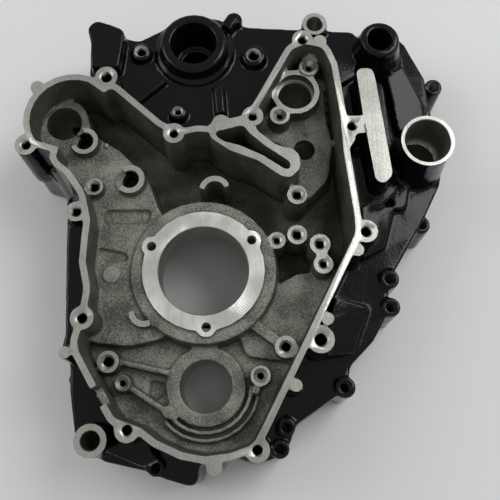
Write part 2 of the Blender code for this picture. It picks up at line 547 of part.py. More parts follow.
def cavity_fittings(casting):
    """The main ring and its ears, the lower and upper rings, the tapped bosses, arc pads, ribs and ridges."""
    root = DEEP_FLOOR - 1.0
    fuse(casting, [
        boss(MAIN_AXIS, MAIN_RING, FLANGE_FLOOR - 4, MAIN_RING_FACE),
        boss(LOWER_AXIS, LOWER_RING, root, LOWER_RING_TOP),
        boss(UPPER_AXIS, UPPER_RING, root, UPPER_RING_FACE),
    ], CAST)
    ears = [boss((x, y), radius, FLANGE_FLOOR - 4, MAIN_RING_FACE) for x, y, radius, _ in MAIN_EARS]
    fuse(casting, ears, CAST)
    fuse(casting, [boss((x, y), radius, root, face) for x, y, radius, _, face in CAVITY_BOSSES], CAST)
    pads = [prism(band(arc(*pad), RIB), root, HIGH_BOSS_FACE, CAST_DRAFT) for pad in CRESCENTS]
    ribs = [prism(band(line, width), root, top, CAST_DRAFT) for line, width, top in CAVITY_RIBS]
    fuse(casting, pads + ribs, CAST)
    for outside, width, rise in RING_RIDGES:
        ridge = band(arc(LOWER_AXIS, LOWER_RING + outside, 220, 140), width)
        fuse(casting, [prism(ridge, root, LOWER_RING_TOP + rise, CAST_DRAFT)], CAST)
    fuse(casting, [boss((x, y), radius, root, face) for x, y, radius, face in DISCS], CAST)


def cored_and_drilled(casting):
    """Pockets in the floors, then every bore and tapped hole."""
    above = FILLER_FACE + 1.0
    pockets = [prism(rounded(outline), bottom, bottom + 16) for outline, bottom in FLOOR_POCKETS]
    slots = [prism(band(line, width), bottom, above) for line, width, bottom in OPEN_SLOTS]
    cut(casting, pockets + slots, CAST)
    cut(casting, [
        bore(MAIN_AXIS, MAIN_BORE, -1.0, above),
        bore(LOWER_AXIS, LOWER_BORE, -1.0, above),
        bore(UPPER_AXIS, UPPER_BORE, UPPER_RING_FACE - 10.0, above),
        bore(UPPER_AXIS, UPPER_BORE - UPPER_STEP, -1.0, UPPER_RING_FACE - 9.0),
        bore(FILLER_AXIS, FILLER_BORE, 52.0, above),
        bore(FILLER_AXIS, FILLER_BORE - FILLER_STEP, -1.0, 53.0),
        bore(FILTER_AXIS, FILTER_BORE, 46.0, above),
        bore(FILTER_AXIS, FILTER_BORE - FILTER_STEP, 28.0, 47.0),
        bore(SIDE_EYE_AXIS, SIDE_EYE_BORE, -1.0, above),
        bore(STUD_AXIS, STUD_BORE, -1.0, above),
        bore(MOUNT_AXIS, MOUNT_BORE, -1.0, above),
        bore(LOBE_HOLE_AXIS, LOBE_HOLE, -1.0, PLATEAU_FLOOR + 1),
        bore(WINDOW_HOLE_AXIS, WINDOW_HOLE, -1.0, UPPER_FLOOR + 1),
    ], MACHINED)
    holes = [(x, y, hole, GASKET_FACE) for x, y, _, hole in COVER_BOLTS]
    holes += [(x, y, hole, MAIN_RING_FACE) for x, y, _, hole in MAIN_EARS]
    holes += [(x, y, hole, face) for x, y, _, hole, face in CAVITY_BOSSES]
    holes += [(x, y, hole, TOP_DECK + DECK_BOSS_RISE) for x, y, _, hole in DECK_BOSSES]
    cut(casting, [bore((x, y), hole, face - TAPPED_DEPTH, face + 1) for x, y, hole, face in holes], MACHINED)
    cut(casting, [bore((x, y), JOINT_BOLT_BORE, -1.0, top + 1) for x, y, _, top in JOINT_BOLTS], MACHINED)


def machined_faces(casting):
    """The faces that a cutter has levelled are bare, bright metal."""
    levels = (
        0.0, GASKET_FACE, MAIN_RING_FACE, LOW_BOSS_FACE, HIGH_BOSS_FACE, UPPER_RING_FACE, LOWER_RING_TOP,
        MOUNT_FACE, STUD_BOSS_FACE, FILLER_FACE,
    )
    for face in casting.data.polygons:
        if abs(face.normal.z) > 0.9999 and min(abs(face.center.z / MM - level) for level in levels) < 0.01:
            face.material_index = MACHINED


def flat_faces_merged(casting):
    """Dissolves the edges that the joins and cuts leave across flat faces of one finish."""
    shape = bmesh.new()
    shape.from_mesh(casting.data)
    bmesh.ops.dissolve_limit(
        shape, angle_limit=radians(0.5), verts=shape.verts, edges=shape.edges, delimit={"MATERIAL"}
    )
    shape.to_mesh(casting.data)
    shape.free()


def to_footprint_middle(casting):
    """Moves the casting so that its origin is the middle of its footprint."""
    points = np.empty(len(casting.data.vertices) * 3)
    casting.data.vertices.foreach_get("co", points)
    points = points.reshape(-1, 3)
    middle = (points.min(axis=0) + points.max(axis=0)) / 2
    casting.data.transform(Matrix.Translation((-middle[0], -middle[1], 0.0)))


def build():
    casting = outer_case()
    front_cavity(casting)
    rear_chambers(casting)
    painted_fittings(casting)
    cavity_fittings(casting)
    cored_and_drilled(casting)
    machined_faces(casting)
    flat_faces_merged(casting)
    to_footprint_middle(casting)
    casting.data.shade_smooth()
    casting.data.set_sharp_from_angle(angle=radians(35.0))
    return casting


for item in list(bpy.data.objects):
    bpy.data.objects.remove(item)
bpy.context.scene.unit_settings.system = "METRIC"
make_finishes()
crankcase = build()
crankcase.name = "crankcase_casting"
crankcase.data.name = "crankcase_casting"
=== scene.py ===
from math import ceil, radians

import bpy
import numpy as np
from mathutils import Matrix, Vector
from mathutils.bvhtree import BVHTree
from mathutils.kdtree import KDTree


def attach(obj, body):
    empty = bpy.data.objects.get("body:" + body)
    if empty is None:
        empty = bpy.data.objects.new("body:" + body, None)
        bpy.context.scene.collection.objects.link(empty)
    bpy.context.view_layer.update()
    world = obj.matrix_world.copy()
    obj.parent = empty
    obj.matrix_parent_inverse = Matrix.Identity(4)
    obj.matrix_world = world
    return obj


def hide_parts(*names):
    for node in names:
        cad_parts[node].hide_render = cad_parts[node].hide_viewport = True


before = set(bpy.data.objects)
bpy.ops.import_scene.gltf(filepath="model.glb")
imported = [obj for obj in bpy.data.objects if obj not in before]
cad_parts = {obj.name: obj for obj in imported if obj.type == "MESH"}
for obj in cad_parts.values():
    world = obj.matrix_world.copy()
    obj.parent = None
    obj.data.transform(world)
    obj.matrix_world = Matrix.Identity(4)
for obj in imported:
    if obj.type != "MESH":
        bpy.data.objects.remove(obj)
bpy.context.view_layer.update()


# The rough casting. The half is sand-cast in aluminium in one pour, with soft fillets in every corner and an
# allowance left on each face that is milled later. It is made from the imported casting: its faces are joined,
# the allowance is added, and a fine skin is drawn over it and relaxed until the corners are round.
casting_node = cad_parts["crankcase_casting"]
GASKET_FACE = 0.086
MILLED_LEVELS = (GASKET_FACE, 0.066, 0.062, 0.069, 0.067, 0.072, 0.074, 0.090, 0.0608)
UNMILLED_BOSSES = (
    (-0.0746, 0.1369, 0.072), (0.0094, 0.1339, 0.072), (-0.0458, 0.0879, 0.072), (-0.0791, -0.1066, 0.062),
)
BOSS_REACH = 0.012
FLAT = 0.9999
UPRIGHT = 1e-3
LEVEL_TOLERANCE = 3e-5
ALLOWANCE = 0.0016
LARGEST_BORE = 0.04
SAME_CIRCLE = 1e-4
BENDS_OF_A_HOLE = 8
DRILLED_UP_TO = 0.007
DRILLED_DEPTH = 0.018
DEPTH_TOLERANCE = 5e-4
AS_CAST_BORES = ((-0.0351, 0.1404), (0.1024, 0.1414))
AS_CAST_REACH = 0.002
# Three bolt columns stand on the cavity's side of the rail: x, y, radius, radius of the hole
INNER_COLUMNS = (
    (-0.04679, 0.06436, 0.0076, 0.0036),
    (0.00871, 0.07736, 0.0076, 0.0035),
    (-0.10309, -0.06645, 0.0079, 0.0039),
)
COLUMN_FOOT = 0.036
COLUMN_DRAFT = 0.0013
COLUMN_SIDES = 40
PLUG_SIDES = 24
PLUG_CLEARANCE = 5e-5
PLUG_OVERLAP = 5e-4
SKIN_CELL = 0.00088
FILLET_ROUNDS = 6
RELIEF_ROUNDS = 16
SKIN_TRIANGLES = 142_000


def joined_triangles(mesh):
    """Points and triangles of a mesh, with points closer than a micrometre made one."""
    mesh.calc_loop_triangles()
    points = np.empty(len(mesh.vertices) * 3, np.float32)
    mesh.vertices.foreach_get("co", points)
    triangles = np.empty(len(mesh.loop_triangles) * 3, np.int32)
    mesh.loop_triangles.foreach_get("vertices", triangles)
    points = points.reshape(-1, 3).astype(float)
    _, first, index = np.unique(np.round(points, 6), axis=0, return_index=True, return_inverse=True)
    return points[first], index.reshape(-1)[triangles.reshape(-1, 3)]


def triangle_normals(points, triangles):
    """The unit normal of each triangle, from the cross product of two of its sides."""
    a, b, c = (points[triangles[:, corner]] for corner in range(3))
    across = np.cross(b - a, c - a)
    return across / np.maximum(np.linalg.norm(across, axis=1), 1e-20)[:, None]


def mesh_object(name, points, faces):
    """A smooth-shaded object at the origin from arrays of points and of faces with equal corner counts."""
    mesh = bpy.data.meshes.new(name)
    mesh.from_pydata(points.tolist(), [], faces.tolist())
    mesh.shade_smooth()
    made = bpy.data.objects.new(name, mesh)
    bpy.context.scene.collection.objects.link(made)
    return made


def with_modifiers_applied(made):
    """The object with its modifiers worked into its mesh."""
    graph = bpy.context.evaluated_depsgraph_get()
    result = bpy.data.meshes.new_from_object(made.evaluated_get(graph))
    made.modifiers.clear()
    made.data = result
    return made


def relaxed(points, edges, rounds):
    """Every point moves half-way to the mean of its neighbours, so many times."""
    count = len(points)
    degree = np.bincount(edges.ravel(), minlength=count)
    for _ in range(rounds):
        for axis in range(3):
            total = np.bincount(edges[:, 0], points[edges[:, 1], axis], count)
            total += np.bincount(edges[:, 1], points[edges[:, 0], axis], count)
            points[:, axis] += total / degree
        points /= 2
    return points


def closed_grid(grid):
    """Points and faces of a solid whose skin is a grid of rings, bottom to top, closed by flat ends."""
    rows, sides = grid.shape[:2]
    points = np.concatenate([grid.reshape(-1, 3), [grid[0].mean(axis=0), grid[-1].mean(axis=0)]])
    ring = np.arange(sides)
    after = (ring + 1) % sides
    low = np.arange(rows - 1)[:, None] * sides
    a, b, c, d = low + ring, low + after, low + after + sides, low + ring + sides
    walls = np.stack([a, b, c, a, c, d], axis=2).reshape(-1, 3)
    top = (rows - 1) * sides
    bottom_cap = np.stack([after, ring, np.full(sides, len(points) - 2)], axis=1)
    top_cap = np.stack([top + ring, top + after, np.full(sides, len(points) - 1)], axis=1)
    return points, np.concatenate([walls, bottom_cap, top_cap])


def turned(profile, x, y, sides):
    """A solid of revolution: at each (radius, height) of the profile a ring of points round x, y."""
    angle = np.linspace(0, 2 * np.pi, sides, endpoint=False)
    radius, height = (np.array(values)[:, None] for values in zip(*profile))
    across, along = x + radius * np.cos(angle), y + radius * np.sin(angle)
    return closed_grid(np.stack([across, along, height + 0 * angle], axis=2))


def one_shell(parts):
    """Points and faces of several meshes as one."""
    starts = np.cumsum([0] + [len(points) for points, _ in parts[:-1]])
    faces = [faces + start for (_, faces), start in zip(parts, starts)]
    return np.concatenate([points for points, _ in parts]), np.concatenate(faces)


def round_holes():
    """Every upright round hole as (x, y, radius, bottom, top). Where two neighbouring wall facets bend
    inwards, their three upright edges give a circle. A hole is a circle that many such bends agree on."""
    upright = np.abs(cad_normals[:, 2]) < UPRIGHT
    ahead = {}
    place = {}
    heights = {}
    for corners, normal in zip(cad_points[cad_triangles[upright]], cad_normals[upright]):
        plan = corners[:, :2]
        order = np.argsort(plan @ np.array([-normal[1], normal[0]]))
        first, last = (tuple(np.round(plan[i], 5)) for i in (order[0], order[-1]))
        ahead.setdefault(first, set()).add(last)
        for at, exact in ((first, plan[order[0]]), (last, plan[order[-1]])):
            place[at] = exact
            low, high = heights.get(at, (1.0, -1.0))
            heights[at] = (min(low, corners[:, 2].min()), max(high, corners[:, 2].max()))
    circles = []
    for a, after in ahead.items():
        for b in after:
            for c in ahead.get(b, ()):
                u, v = place[b] - place[a], place[c] - place[a]
                turn = u[0] * v[1] - u[1] * v[0]
                if abs(turn) < 1e-9:
                    continue
                uu, vv = u @ u, v @ v
                reach = np.array([v[1] * uu - u[1] * vv, u[0] * vv - v[0] * uu]) / (2 * turn)
                radius = np.linalg.norm(reach)
                if turn < 0 and radius < LARGEST_BORE:
                    circles.append((*(place[a] + reach), radius, *heights[b]))
    circles = np.array(circles)
    holes = []
    while len(circles):
        near = np.abs(circles[:, :3] - circles[0, :3]).max(axis=1) < SAME_CIRCLE
        from_cast = min(np.hypot(circles[0, 0] - x, circles[0, 1] - y) for x, y in AS_CAST_BORES)
        if near.sum() >= BENDS_OF_A_HOLE and from_cast > AS_CAST_REACH:
            alike = circles[near]
            holes.append((*alike[:, :3].mean(axis=0), alike[:, 3].min(), alike[:, 4].max()))
        circles = circles[~near]
    return holes


def drilled(hole):
    """Whether a hole is a blind one for a bolt or a dowel, which is drilled in solid metal."""
    _, _, radius, bottom, top = hole
    return radius < DRILLED_UP_TO and abs(top - bottom - DRILLED_DEPTH) < DEPTH_TOLERANCE


cad_points, cad_triangles = joined_triangles(casting_node.data)
cad_normals = triangle_normals(cad_points, cad_triangles)
cad_heights = cad_points[cad_triangles][:, :, 2]
milled_up = np.zeros(len(cad_triangles), bool)
for level in MILLED_LEVELS:
    on_level = np.abs(cad_heights - level).max(axis=1) < LEVEL_TOLERANCE
    milled_up |= (cad_normals[:, 2] > FLAT) & on_level
cad_centres = cad_points[cad_triangles].mean(axis=1)
for boss in UNMILLED_BOSSES:
    milled_up &= np.linalg.norm(cad_centres - boss, axis=1) > BOSS_REACH
milled_down = (cad_normals[:, 2] < -FLAT) & (np.abs(cad_heights).max(axis=1) < LEVEL_TOLERANCE)

cast_points = cad_points.copy()
cast_points[np.unique(cad_triangles[milled_up]), 2] += ALLOWANCE
cast_points[np.unique(cad_triangles[milled_down]), 2] -= ALLOWANCE
holes = sorted(round_holes(), key=lambda hole: hole[4])
added = []
for x, y, outside, radius in INNER_COLUMNS:
    holes.append((x, y, radius, GASKET_FACE - DRILLED_DEPTH, GASKET_FACE))
    column = ((outside + COLUMN_DRAFT, COLUMN_FOOT), (outside, GASKET_FACE + ALLOWANCE))
    added.append(turned(column, x, y, COLUMN_SIDES))
for x, y, radius, bottom, top in filter(drilled, holes):
    plug_radius = radius - PLUG_CLEARANCE
    plug = ((plug_radius, bottom - PLUG_OVERLAP), (plug_radius, top + ALLOWANCE))
    added.append(turned(plug, x, y, PLUG_SIDES))
casting = mesh_object("crankcase", *one_shell([(cast_points, cad_triangles)] + added))
skin = casting.modifiers.new("skin", "REMESH")
skin.mode = "VOXEL"
skin.voxel_size = SKIN_CELL
skin.use_smooth_shade = True
with_modifiers_applied(casting)

skin_points = np.empty(len(casting.data.vertices) * 3)
casting.data.vertices.foreach_get("co", skin_points)
skin_points = skin_points.reshape(-1, 3)
skin_edges = np.empty(len(casting.data.edges) * 2, np.int32)
casting.data.edges.foreach_get("vertices", skin_edges)
skin_edges = skin_edges.reshape(-1, 2)
skin_points = relaxed(skin_points, skin_edges, FILLET_ROUNDS)
casting.data.vertices.foreach_set("co", skin_points.ravel())

# How far each point would still sink or rise if it were rounded more tells edges from hollows
skin_normals = np.empty(len(skin_points) * 3)
casting.data.update()
casting.data.vertex_normals.foreach_get("vector", skin_normals)
skin_normals = skin_normals.reshape(-1, 3)
rounder = relaxed(skin_points.copy(), skin_edges, RELIEF_ROUNDS)
skin_relief = np.sum((skin_points - rounder) * skin_normals, axis=1)
skin_relief_tree = KDTree(len(skin_points))
for index, point in enumerate(skin_points):
    skin_relief_tree.insert(point, index)
skin_relief_tree.balance()

thinner = casting.modifiers.new("thinner", "DECIMATE")
thinner.ratio = min(1.0, SKIN_TRIANGLES / (2 * len(skin_points)))
with_modifiers_applied(casting)


# The two cast finishes. Inside the gasket rail and in the joint side's hollows the metal is left bare, and
# everything outside is painted. The outlines of the rail and of the joint face, closed at their gaps, part
# the two.
PAINTED, CAST, MILLED = range(3)
PLAN_CELL = 0.001
CELLS_BEFORE, CELLS_AFTER = 5, 3
RAIL_GAP = ((-0.0839, -0.1280), (-0.0984, -0.1155))
GAP_OVERRUN = 0.5
GAP_REACH = 0.004
WIDEST_RAIL_CELLS = 40
JOINT_GAP_CELLS = 5
LOOK_OFF = 0.0015
HOLLOWS_TOP = 0.064
WELL_REACH = 0.019
WELL_BOTTOM = 0.024


def plan_raster(points, triangles, low, shape):
    """A grid seen from above, true where a cell's centre lies in one of the triangles."""
    grid = np.zeros(shape, bool)
    for corners in points[triangles][:, :, :2]:
        first = np.maximum(((corners.min(axis=0) - low) / PLAN_CELL).astype(int), 0)
        last = ((corners.max(axis=0) - low) / PLAN_CELL).astype(int) + 2
        across = low[0] + (np.arange(first[0], last[0])[:, None] + 0.5) * PLAN_CELL
        up = low[1] + (np.arange(first[1], last[1])[None, :] + 0.5) * PLAN_CELL
        inside = np.ones((last[0] - first[0], last[1] - first[1]), bool)
        for start, end in zip(corners, np.roll(corners, -1, axis=0)):
            run = end - start
            inside &= run[0] * (up - start[1]) - run[1] * (across - start[0]) >= -1e-9
        grid[first[0]:last[0], first[1]:last[1]] |= inside
    return grid


def spread(region, allowed):
    """The region grown through the allowed cells by one cell each way."""
    grown = region.copy()
    grown[1:] |= region[:-1]
    grown[:-1] |= region[1:]
    grown[:, 1:] |= region[:, :-1]
    grown[:, :-1] |= region[:, 1:]
    return grown & (allowed | region)


def reached_from_outside(barrier):
    """The cells that can be reached from the grid's border without a step onto the barrier."""
    reached = np.zeros(barrier.shape, bool)
    reached[0] = True
    while True:
        wider = spread(reached, ~barrier)
        if (wider == reached).all():
            return reached
        reached = wider


plan_low = cad_points.min(axis=0)[:2] - CELLS_BEFORE * PLAN_CELL
plan_cells = ((cad_points.max(axis=0)[:2] - plan_low) / PLAN_CELL).astype(int) + CELLS_BEFORE + CELLS_AFTER
plan_shape = tuple(plan_cells)
gasket = milled_up & (np.abs(cad_heights[:, 0] - GASKET_FACE) < LEVEL_TOLERANCE)
rail = plan_raster(cad_points, cad_triangles[gasket], plan_low, plan_shape)
cell_x = plan_low[0] + (np.arange(plan_shape[0])[:, None] + 0.5) * PLAN_CELL
cell_y = plan_low[1] + (np.arange(plan_shape[1])[None, :] + 0.5) * PLAN_CELL
gap_start, gap_end = (np.array(end) for end in RAIL_GAP)
gap_run = gap_end - gap_start
along = (cell_x - gap_start[0]) * gap_run[0] + (cell_y - gap_start[1]) * gap_run[1]
along = np.clip(along / (gap_run @ gap_run), -GAP_OVERRUN, 1 + GAP_OVERRUN)
off_x = cell_x - gap_start[0] - along * gap_run[0]
off_y = cell_y - gap_start[1] - along * gap_run[1]
rail |= np.hypot(off_x, off_y) < GAP_REACH
outside = reached_from_outside(rail)
inside = ~rail & ~outside
for _ in range(WIDEST_RAIL_CELLS):
    free = ~(inside | outside)
    inside, outside = spread(inside, free), spread(outside, free & ~inside)
joint_face = plan_raster(cad_points, cad_triangles[milled_down][:, ::-1], plan_low, plan_shape)
closed_face = joint_face
for _ in range(JOINT_GAP_CELLS):
    closed_face = spread(closed_face, ~closed_face)
around = reached_from_outside(closed_face)
for _ in range(JOINT_GAP_CELLS):
    around = spread(around, ~joint_face)
hollows = ~joint_face & ~around


def finish_of_faces(mesh):
    """PAINTED or CAST for each face: cast inside the rail, and in the hollows of the joint side, where metal
    lies straight above a point that is a little off the face."""
    centres = np.empty(len(mesh.polygons) * 3)
    mesh.polygons.foreach_get("center", centres)
    centres = centres.reshape(-1, 3)
    normals = np.empty(len(mesh.polygons) * 3)
    mesh.polygons.foreach_get("normal", normals)
    off = centres + normals.reshape(-1, 3) * LOOK_OFF
    cells = ((off[:, :2] - plan_low) / PLAN_CELL).astype(int)
    cells = np.clip(cells, 0, np.array(plan_shape) - 1)
    bare = inside[cells[:, 0], cells[:, 1]]
    metal = BVHTree.FromPolygons(cad_points.tolist(), cad_triangles.tolist())
    up = Vector((0, 0, 1))
    from_well = np.hypot(off[:, 0] - AS_CAST_BORES[0][0], off[:, 1] - AS_CAST_BORES[0][1])
    in_well = (from_well < WELL_REACH) & (off[:, 2] > WELL_BOTTOM)
    in_hollow = hollows[cells[:, 0], cells[:, 1]]
    for index in np.nonzero(~bare & ~in_well & in_hollow & (off[:, 2] < HOLLOWS_TOP))[0]:
        bare[index] = metal.ray_cast(Vector(off[index]), up)[0] is not None
    return np.where(bare, CAST, PAINTED)


for name in ("black_gloss_paint", "rough_cast_aluminium", "milled_aluminium"):
    casting.data.materials.append(bpy.data.materials.new(name))
casting.data.polygons.foreach_set("material_index", finish_of_faces(casting.data).astype(np.int32))


# The milled faces. An end mill takes the allowance off every seat and leaves it bright, and a face mill
# levels the whole joint side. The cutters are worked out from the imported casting's own flat faces.
MILL_OVERSIZE = 0.0006
MILL_REACH = 0.006
MITRE_LIMIT = 1.2
FACE_MILL_RADIUS = 0.4
FACE_MILL_HEIGHT = 0.01
FACE_MILL_SIDES = 8


def face_patches(triangles):
    """The triangles as groups that share edges."""
    label = np.arange(triangles.max() + 1)
    while True:
        lowest = label[triangles].min(axis=1)
        settled = label.copy()
        for corner in range(3):
            np.minimum.at(settled, triangles[:, corner], lowest)
        settled = settled[settled]
        if (settled == label).all():
            break
        label = settled
    owner = label[triangles[:, 0]]
    return [triangles[owner == one] for one in np.unique(owner)]


def mill_cutter(patch):
    """A prism on the patch that reaches up from the metal, with its outline pushed out by the oversize."""
    used, faces = np.unique(patch, return_inverse=True)
    faces = faces.reshape(-1, 3)
    points = cad_points[used].copy()
    arcs = np.concatenate([faces[:, [0, 1]], faces[:, [1, 2]], faces[:, [2, 0]]])
    back = {(b, a) for a, b in arcs.tolist()}
    rim = np.array([arc for arc in arcs.tolist() if tuple(arc) not in back])
    run = points[rim[:, 1], :2] - points[rim[:, 0], :2]
    run /= np.maximum(np.linalg.norm(run, axis=1), 1e-9)[:, None]
    away = np.stack([run[:, 1], -run[:, 0]], axis=1)
    push = np.zeros((len(points), 2))
    for end in (0, 1):
        np.add.at(push, rim[:, end], away)
    size = np.sum(push * push, axis=1)
    push[size > 0] *= (2 / np.maximum(size[size > 0], MITRE_LIMIT))[:, None]
    points[:, :2] += push * MILL_OVERSIZE
    far = points + (0, 0, MILL_REACH)
    count = len(points)
    walls = np.stack([rim[:, 0], rim[:, 1], rim[:, 1] + count, rim[:, 0] + count], axis=1)
    walls = np.concatenate([walls[:, [0, 1, 2]], walls[:, [0, 2, 3]]])
    shell = np.concatenate([faces[:, ::-1], faces + count, walls])
    return np.concatenate([points, far]), shell


face_mill = ((FACE_MILL_RADIUS, -FACE_MILL_HEIGHT), (FACE_MILL_RADIUS, 0.0))
cutters = [mesh_object("mill_cutter", *turned(face_mill, 0, 0, FACE_MILL_SIDES))]
for level in MILLED_LEVELS:
    on_level = milled_up & (np.abs(cad_heights[:, 0] - level) < LEVEL_TOLERANCE)
    patches = face_patches(cad_triangles[on_level])
    cutters.append(mesh_object("mill_cutter", *one_shell([mill_cutter(patch) for patch in patches])))
column_tops = [
    turned(((outside, GASKET_FACE), (outside, GASKET_FACE + MILL_REACH)), x, y, COLUMN_SIDES)
    for x, y, outside, _ in INNER_COLUMNS
]
cutters.append(mesh_object("mill_cutter", *one_shell(column_tops)))


# The bores and tapped holes. Bearing seats are bored round with a small break at the mouth. Bolt holes are
# drilled blind with a cone at the bottom and tapped with a helical thread. The dowels' holes are stepped.
EDGE_BREAK = 0.0005
BOSS_MOUTH = 0.0009
SUNK_MOUTH = 0.0024
TAPPED_UP_TO = 0.005
SUNK_UP_TO = 0.0028
FINE_PITCH_UP_TO = 0.0036
FINE_PITCH, COARSE_PITCH = 0.001, 0.00125
THREAD_DEPTH, CORE_DEPTH = 0.55, 0.5
THREAD_RUN = 0.009
THREAD_SIDES = 16
THREAD_ROWS = 4
CONE_TIP = 1e-5
CONE_SLOPE = 0.6
STEP_DEPTH = 0.0085
STEP_WIDTH = 0.0016
STEP_SLOPE = 2e-4
PAST_FACE = 0.002
PAST_BOTTOM = 0.0002
SAME_AXIS = 0.001
FEWEST_BORE_SIDES = 24
HOLE_MARGIN = 1e-4
CONE_MARGIN = 0.001
SHARP_ANGLE = 38


def tapped(x, y, radius, bottom, top, mouth):
    """A drill's cone, its plain hole, and above them a tap's thread. There the radius at angle a and height
    z is the hole's, less the thread's depth times how near z / pitch - a / (2 pi) is to a whole number."""
    pitch = FINE_PITCH if radius < FINE_PITCH_UP_TO else COARSE_PITCH
    angle = np.linspace(0, 2 * np.pi, THREAD_SIDES, endpoint=False)
    start = top - THREAD_RUN
    heights = np.arange(start, top - mouth, pitch / THREAD_ROWS)
    turn = (heights[:, None] / pitch - angle / (2 * np.pi)) % 1.0
    threaded = radius - THREAD_DEPTH * pitch * np.abs(2 * turn - 1)
    core = radius - CORE_DEPTH * pitch
    lower = [bottom, bottom + CONE_SLOPE * core, start - pitch / THREAD_ROWS]
    heights = np.concatenate([lower, heights, [top, top + PAST_FACE]])
    cone_and_core = np.array([[CONE_TIP], [core], [core]]) + 0 * angle
    opening = np.array([[radius + mouth], [radius + mouth + PAST_FACE]]) + 0 * angle
    radii = np.concatenate([cone_and_core, threaded, opening])
    grid = [x + radii * np.cos(angle), y + radii * np.sin(angle), heights[:, None] + 0 * radii]
    return closed_grid(np.stack(grid, axis=2))


first_bores, second_bores = [], []
for index, hole in enumerate(holes):
    x, y, radius, bottom, top = hole
    on_rail = abs(top - GASKET_FACE) < LEVEL_TOLERANCE
    mouth = SUNK_MOUTH if radius < SUNK_UP_TO else (EDGE_BREAK if on_rail else BOSS_MOUTH)
    if drilled(hole) and radius < TAPPED_UP_TO:
        first_bores.append(tapped(x, y, radius, bottom, top, mouth))
        continue
    profile = [(radius, bottom - PAST_BOTTOM)]
    if drilled(hole):
        core = radius - STEP_WIDTH
        step = top - STEP_DEPTH
        profile = [(CONE_TIP, bottom), (core, bottom + CONE_SLOPE * core)]
        profile += [(core, step), (radius, step + STEP_SLOPE)]
    profile += [(radius, top - EDGE_BREAK), (radius + EDGE_BREAK, top)]
    profile.append((radius + EDGE_BREAK + PAST_FACE, top + PAST_FACE))
    shared_axis = any(np.hypot(x - other[0], y - other[1]) < SAME_AXIS for other in holes[:index])
    made = turned(profile, x, y, FEWEST_BORE_SIDES + 2 * ceil(radius * 1000))
    (second_bores if shared_axis else first_bores).append(made)
cutters += [mesh_object("bore_cutter", *one_shell(bores)) for bores in (first_bores, second_bores)]

# The two dowel bosses are open to one side: centre, and where the gap starts and ends in degrees
OPEN_BOSSES = ((-0.11359, 0.06596, 131, 207), (-0.07919, 0.03655, 126, 224))
GAP_INSIDE, GAP_OUTSIDE = 0.0060, 0.0132
GAP_BOTTOM, GAP_TOP = 0.0618, 0.0740
GAP_STEPS = 16


def ring_sector(x, y, start, end):
    """Part of a square ring round x, y: the four corners of its section at each angle from start to end."""
    angle = np.radians(np.linspace(start, end, GAP_STEPS))[:, None]
    radius = np.array([GAP_INSIDE, GAP_INSIDE, GAP_OUTSIDE, GAP_OUTSIDE])
    height = np.array([GAP_BOTTOM, GAP_TOP, GAP_TOP, GAP_BOTTOM]) + 0 * angle
    across, along = x + radius * np.cos(angle), y + radius * np.sin(angle)
    return closed_grid(np.stack([across, along, height], axis=2))


gap_cutter = mesh_object("gap_cutter", *one_shell([ring_sector(*gap) for gap in OPEN_BOSSES]))
for cutter in cutters + [gap_cutter]:
    for material in casting.data.materials:
        cutter.data.materials.append(material)
    finish = CAST if cutter is gap_cutter else MILLED
    cutter.data.polygons.foreach_set("material_index", np.full(len(cutter.data.polygons), finish, np.int32))
    removal = casting.modifiers.new("removal", "BOOLEAN")
    removal.solver = "MANIFOLD"
    removal.operation = "DIFFERENCE"
    removal.object = cutter
bpy.context.view_layer.update()
with_modifiers_applied(casting)
for cutter in cutters + [gap_cutter]:
    bpy.data.objects.remove(cutter)
casting.data.shade_smooth()
casting.data.set_sharp_from_angle(angle=radians(SHARP_ANGLE))

# The relief of the skin's nearest point, in millimetres
relief = [skin_relief[skin_relief_tree.find(vertex.co)[1]] * 1000 for vertex in casting.data.vertices]
casting.data.attributes.new("relief", "FLOAT", "POINT").data.foreach_set("value", relief)

# How deep each point lies in a drilled hole, in millimetres
final_points = np.empty(len(casting.data.vertices) * 3)
casting.data.vertices.foreach_get("co", final_points)
final_points = final_points.reshape(-1, 3)
hole_depths = np.zeros(len(final_points))
for x, y, radius, bottom, top in filter(drilled, holes):
    within = np.hypot(final_points[:, 0] - x, final_points[:, 1] - y) < radius + HOLE_MARGIN
    within &= final_points[:, 2] > bottom - CONE_MARGIN
    hole_depths[within] = np.maximum(top - final_points[within, 2], 0.0) * 1000
casting.data.attributes.new("hole_depth", "FLOAT", "POINT").data.foreach_set("value", hole_depths)
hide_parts("crankcase_casting")
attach(casting, "root")


# The bare cast metal inside the rail. Sand leaves it grainy and a little green. It is lighter on its rounded
# edges where it is rubbed, and painted shade darkens its corners and walls and its deepest floor nearly to
# black, in patches.
SAND_SHADE, SAND_LIGHT = (0.104, 0.105, 0.087), (0.300, 0.301, 0.256)
# The rubbed edge is wear. The corner colour and the deep colour are painted shade, in the corners, on the
# walls and on the deepest floor.
RUBBED_EDGE, CORNER_SHADE, DEEP_SHADE = (0.40, 0.40, 0.37), (0.060, 0.059, 0.049), (0.021, 0.0195, 0.0140)
MOTTLE_START, MOTTLE_FULL = 0.38, 0.62
EDGE_SHARE, CORNER_SHARE, WALL_SHADE_SHARE = 0.6, 0.8, 0.62
WALL_START, WALL_FULL = 0.7, 0.1
